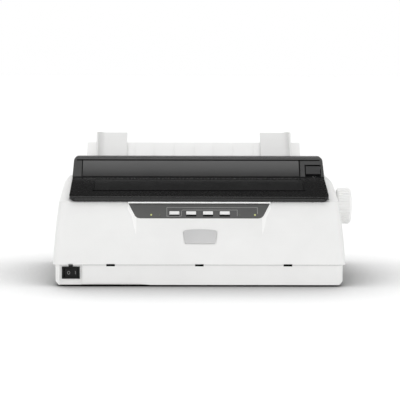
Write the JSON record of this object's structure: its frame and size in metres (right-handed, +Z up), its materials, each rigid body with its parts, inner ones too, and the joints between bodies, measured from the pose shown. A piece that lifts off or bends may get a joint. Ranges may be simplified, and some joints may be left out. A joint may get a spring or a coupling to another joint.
{
  "type": "dot matrix printer",
  "caption": "Low boxy pale desktop impact printer with hinged smoked front and rear covers, slanted key panel, ribbed feed knob and a tilting sheet support with sliding guides.",
  "frame": {"origin": "bottom centre of the bounding box, on the surface the feet stand on", "axes": "+X to the right seen from the front along the longest extent, +Y to the back, +Z up"},
  "size_m": [0.373, 0.275, 0.1811],
  "materials": {
    "case_plastic": "fine spark-eroded texture",
    "foot_rubber": "moulded",
    "panel_plastic": "printed film on a moulding",
    "badge_metal": "satin anodised",
    "lens": "clear tinted moulding",
    "board": "solder mask on laminate",
    "button_plastic": "light satin moulding",
    "black_plastic": "satin moulding",
    "cover_plastic": "semi-gloss smoked moulding",
    "window": "smoked clear moulding",
    "rear_cover_plastic": "satin moulding",
    "panel_grey": "satin moulding",
    "support_plastic": "light satin moulding",
    "zinc_steel": "zinc-plated pressed sheet",
    "steel": "ground and nickel-plated",
    "platen_rubber": "ground rubber",
    "gear_plastic": "acetal moulding",
    "brass": "sintered and turned",
    "aluminium": "die cast",
    "ribbon": "inked woven nylon",
    "belt_rubber": "reinforced polyurethane",
    "motor_paint": "black lacquered laminations",
    "lever_plastic": "satin moulding"
  },
  "bodies": {
    "chassis": {"lower_case": "case_plastic", "rubber_feet": "foot_rubber", "upper_case": "case_plastic", "operator_panel": "panel_plastic", "badge_plate": "badge_metal", "indicator_lenses": "lens", "panel_board": "board", "switch_body": "black_plastic", "side_plate_left": "zinc_steel", "side_plate_right": "zinc_steel", "base_frame": "zinc_steel", "paper_chute": "black_plastic", "platen_bushes": "gear_plastic", "feed_motor": "steel", "guide_shaft": "steel", "ribbon_cartridge": "black_plastic", "ribbon_band": "ribbon", "timing_belt": "belt_rubber", "carriage_motor": "motor_paint", "tractor_rail": "steel", "main_board": "board", "power_supply": "board", "power_inlet": "black_plastic", "data_ports": "aluminium", "case_screws": "steel"},
    "access_cover": {"access_cover": "cover_plastic", "cover_window": "window"},
    "rear_cover": {"rear_cover": "rear_cover_plastic", "rear_cover_panel": "panel_grey"},
    "sheet_support": {"sheet_support": "support_plastic"},
    "guide_left": {"paper_guide_left": "button_plastic"},
    "guide_right": {"paper_guide_right": "button_plastic"},
    "platen": {"platen_shaft": "steel", "platen_rubber": "platen_rubber", "platen_knob": "button_plastic", "platen_gear": "gear_plastic"},
    "idler": {"idler_gear": "gear_plastic"},
    "transfer": {"transfer_gear": "gear_plastic"},
    "pinion": {"motor_pinion": "brass"},
    "release_lever": {"release_lever": "black_plastic"},
    "pinch_carrier": {"pinch_carrier": "zinc_steel"},
    "pinch_rollers": {"pinch_rollers": "platen_rubber"},
    "bail": {"bail_frame": "steel"},
    "bail_rollers": {"bail_rollers": "platen_rubber"},
    "carriage": {"carriage": "black_plastic", "print_head": "aluminium"},
    "drive_pulley": {"drive_pulley": "brass"},
    "idle_pulley": {"idle_pulley": "gear_plastic"},
    "ribbon_knob": {"ribbon_knob": "black_plastic"},
    "gap_lever": {"gap_lever": "lever_plastic"},
    "tractor_shaft": {"tractor_shaft": "steel"},
    "tractor_left": {"tractor_left": "black_plastic"},
    "tractor_right": {"tractor_right": "black_plastic"},
    "sprocket_left": {"sprocket_left": "black_plastic"},
    "sprocket_right": {"sprocket_right": "black_plastic"},
    "button_1": {"button_1": "button_plastic"},
    "button_2": {"button_2": "button_plastic"},
    "button_3": {"button_3": "button_plastic"},
    "button_4": {"button_4": "button_plastic"},
    "power_rocker": {"power_rocker": "black_plastic"}
  },
  "joints": [
    {"name": "access_cover_hinge", "type": "hinge", "parent": "chassis", "child": "access_cover", "pos_m": [-0.008, -0.041, 0.1175], "axis": [-1, 0, 0], "range_deg": [0, 75]},
    {"name": "rear_cover_hinge", "type": "hinge", "parent": "chassis", "child": "rear_cover", "pos_m": [-0.008, 0.027, 0.129], "axis": [-1, 0, 0], "range_deg": [0, 75]},
    {"name": "sheet_support_hinge", "type": "hinge", "parent": "chassis", "child": "sheet_support", "pos_m": [-0.008, 0.042, 0.112], "axis": [-1, 0, 0], "range_deg": [0, 48]},
    {"name": "guide_left_slide", "type": "slide", "parent": "sheet_support", "child": "guide_left", "axis": [1, 0, 0], "range_m": [0, 0.044]},
    {"name": "guide_right_slide", "type": "slide", "parent": "sheet_support", "child": "guide_right", "axis": [-1, 0, 0], "range_m": [0, 0.044]},
    {"name": "platen_turn", "type": "hinge", "parent": "chassis", "child": "platen", "pos_m": [-0.008, -0.014, 0.089], "axis": [1, 0, 0], "continuous": true},
    {"name": "idler_turn", "type": "hinge", "parent": "chassis", "child": "idler", "pos_m": [-0.158, 0.00975, 0.06907], "axis": [1, 0, 0], "continuous": true},
    {"name": "pinion_turn", "type": "hinge", "parent": "chassis", "child": "pinion", "pos_m": [-0.158, 0.01441, 0.05169], "axis": [1, 0, 0], "continuous": true},
    {"name": "transfer_turn", "type": "hinge", "parent": "chassis", "child": "transfer", "pos_m": [-0.158, 0.04372, 0.07506], "axis": [1, 0, 0], "continuous": true},
    {"name": "tractor_shaft_turn", "type": "hinge", "parent": "chassis", "child": "tractor_shaft", "pos_m": [-0.008, 0.07943, 0.08806], "axis": [1, 0, 0], "continuous": true},
    {"name": "tractor_left_slide", "type": "slide", "parent": "chassis", "child": "tractor_left", "axis": [1, 0, 0], "range_m": [-0.01, 0.03]},
    {"name": "tractor_right_slide", "type": "slide", "parent": "chassis", "child": "tractor_right", "axis": [-1, 0, 0], "range_m": [-0.01, 0.03]},
    {"name": "sprocket_left_turn", "type": "hinge", "parent": "tractor_left", "child": "sprocket_left", "pos_m": [-0.126, 0.07943, 0.08806], "axis": [1, 0, 0], "continuous": true},
    {"name": "sprocket_right_turn", "type": "hinge", "parent": "tractor_right", "child": "sprocket_right", "pos_m": [0.11, 0.07943, 0.08806], "axis": [1, 0, 0], "continuous": true},
    {"name": "release_lever_swing", "type": "hinge", "parent": "chassis", "child": "release_lever", "pos_m": [0.139, 0.012, 0.072], "axis": [-1, 0, 0], "range_deg": [0, 11]},
    {"name": "pinch_carrier_tilt", "type": "hinge", "parent": "chassis", "child": "pinch_carrier", "pos_m": [-0.008, 0.032, 0.066], "axis": [1, 0, 0], "range_deg": [0, 4]},
    {"name": "pinch_rollers_turn", "type": "hinge", "parent": "pinch_carrier", "child": "pinch_rollers", "pos_m": [-0.008, -0.0072, 0.06808], "axis": [1, 0, 0], "continuous": true},
    {"name": "bail_swing", "type": "hinge", "parent": "chassis", "child": "bail", "pos_m": [-0.008, -0.034, 0.076], "axis": [1, 0, 0], "range_deg": [0, 20]},
    {"name": "bail_rollers_turn", "type": "hinge", "parent": "bail", "child": "bail_rollers", "pos_m": [-0.008, -0.02228, 0.10676], "axis": [1, 0, 0], "continuous": true},
    {"name": "carriage_slide", "type": "slide", "parent": "chassis", "child": "carriage", "axis": [1, 0, 0], "range_m": [-0.104, 0.104]},
    {"name": "drive_pulley_turn", "type": "hinge", "parent": "chassis", "child": "drive_pulley", "pos_m": [-0.132, -0.058, 0.052], "axis": [0, 0, 1], "range_deg": [-895, 895]},
    {"name": "idle_pulley_turn", "type": "hinge", "parent": "chassis", "child": "idle_pulley", "pos_m": [0.116, -0.058, 0.052], "axis": [0, 0, 1], "range_deg": [-895, 895]},
    {"name": "ribbon_knob_turn", "type": "hinge", "parent": "chassis", "child": "ribbon_knob", "pos_m": [-0.12, -0.0905, 0.098], "axis": [0, 0, 1], "continuous": true},
    {"name": "gap_lever_swing", "type": "hinge", "parent": "chassis", "child": "gap_lever", "pos_m": [0.14, -0.058, 0.066], "axis": [1, 0, 0], "range_deg": [-8, 8]},
    {"name": "button_1_press", "type": "slide", "parent": "chassis", "child": "button_1", "axis": [0, 0.867, -0.4983], "range_m": [0, 0.0008], "stiffness_N_per_m": 400, "springref_m": -0.001},
    {"name": "button_2_press", "type": "slide", "parent": "chassis", "child": "button_2", "axis": [0, 0.867, -0.4983], "range_m": [0, 0.0008], "stiffness_N_per_m": 400, "springref_m": -0.001},
    {"name": "button_3_press", "type": "slide", "parent": "chassis", "child": "button_3", "axis": [0, 0.867, -0.4983], "range_m": [0, 0.0008], "stiffness_N_per_m": 400, "springref_m": -0.001},
    {"name": "button_4_press", "type": "slide", "parent": "chassis", "child": "button_4", "axis": [0, 0.867, -0.4983], "range_m": [0, 0.0008], "stiffness_N_per_m": 400, "springref_m": -0.001},
    {"name": "power_rocker_tilt", "type": "hinge", "parent": "chassis", "child": "power_rocker", "pos_m": [-0.1645, -0.1285, 0.0168], "axis": [0, 0, -1], "range_deg": [0, 14]}
  ],
  "couplings": [
    {"joint": "idler_turn", "follows": "platen_turn", "ratio": -1.5833},
    {"joint": "pinion_turn", "follows": "platen_turn", "ratio": 3.1667},
    {"joint": "transfer_turn", "follows": "platen_turn", "ratio": 0.84444},
    {"joint": "tractor_shaft_turn", "follows": "platen_turn", "ratio": -1.2258},
    {"joint": "sprocket_left_turn", "follows": "platen_turn", "ratio": -1.2258},
    {"joint": "sprocket_right_turn", "follows": "platen_turn", "ratio": -1.2258},
    {"joint": "pinch_rollers_turn", "follows": "platen_turn", "ratio": -2.1429},
    {"joint": "bail_rollers_turn", "follows": "platen_turn", "ratio": -3.3333},
    {"joint": "pinch_carrier_tilt", "follows": "release_lever_swing", "ratio": 0.36364},
    {"joint": "drive_pulley_turn", "follows": "carriage_slide", "rad_per_m": -149.25},
    {"joint": "idle_pulley_turn", "follows": "carriage_slide", "rad_per_m": -149.25}
  ]
}
